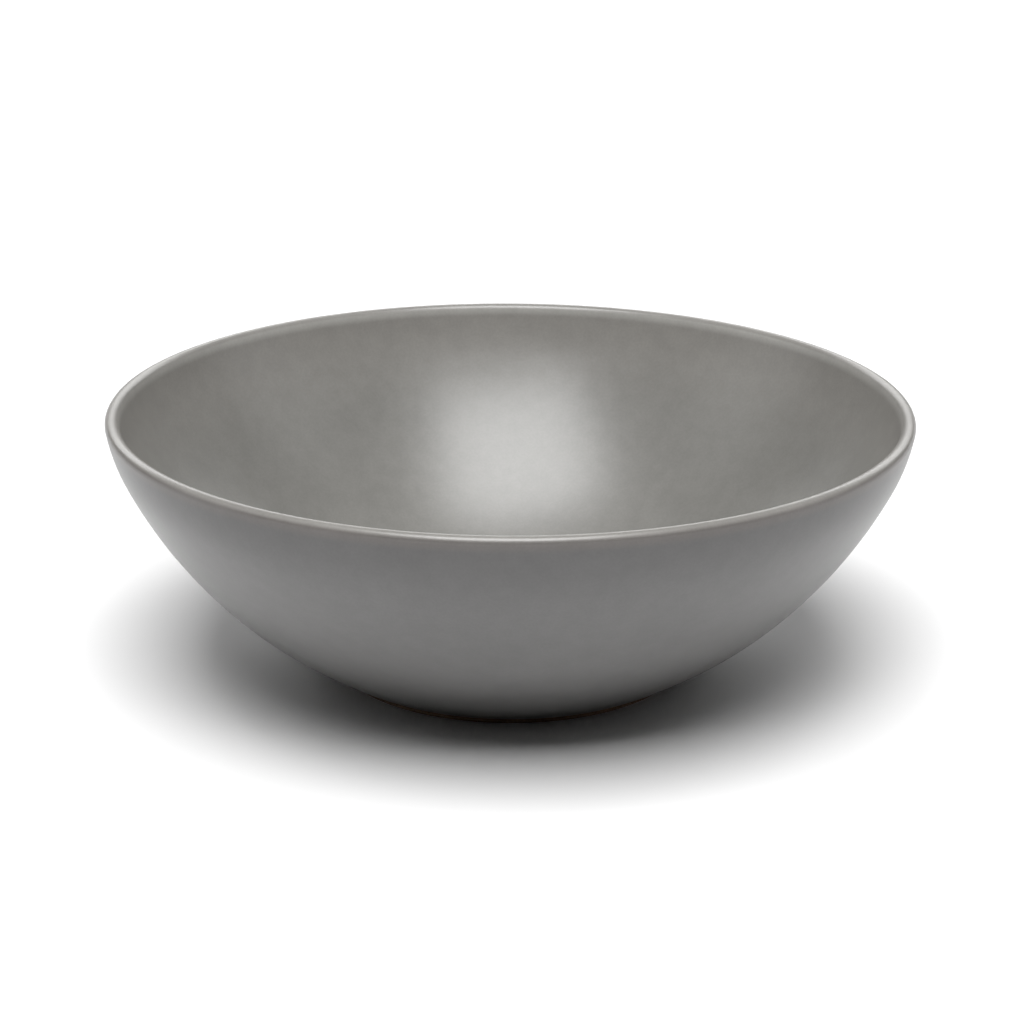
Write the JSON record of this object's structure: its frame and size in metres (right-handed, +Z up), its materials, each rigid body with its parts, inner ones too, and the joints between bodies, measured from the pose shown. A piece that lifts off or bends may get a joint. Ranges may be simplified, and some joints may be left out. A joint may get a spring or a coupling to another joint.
{
  "type": "bowl",
  "caption": "Round open stoneware bowl with a thin rounded lip, a satin grey glaze inside and out, and a low bare clay foot ring.",
  "frame": {"origin": "on the floor at the centre of the foot ring", "axes": "+Z up along the bowl's turning axis, X and Y level; the bowl is the same all round"},
  "size_m": [0.24, 0.24, 0.0805],
  "materials": {
    "bare_clay": "unglazed vitrified brown stoneware, dry and finely grained",
    "satin_glaze": "satin grey glaze with a soft sheen, a faint mottle and a slightly paler, warmer break on the lip"
  },
  "bodies": {
    "root": {"clay_body": "bare_clay", "glaze_coat": "satin_glaze", "foot_well_glaze": "satin_glaze"}
  },
  "joints": []
}
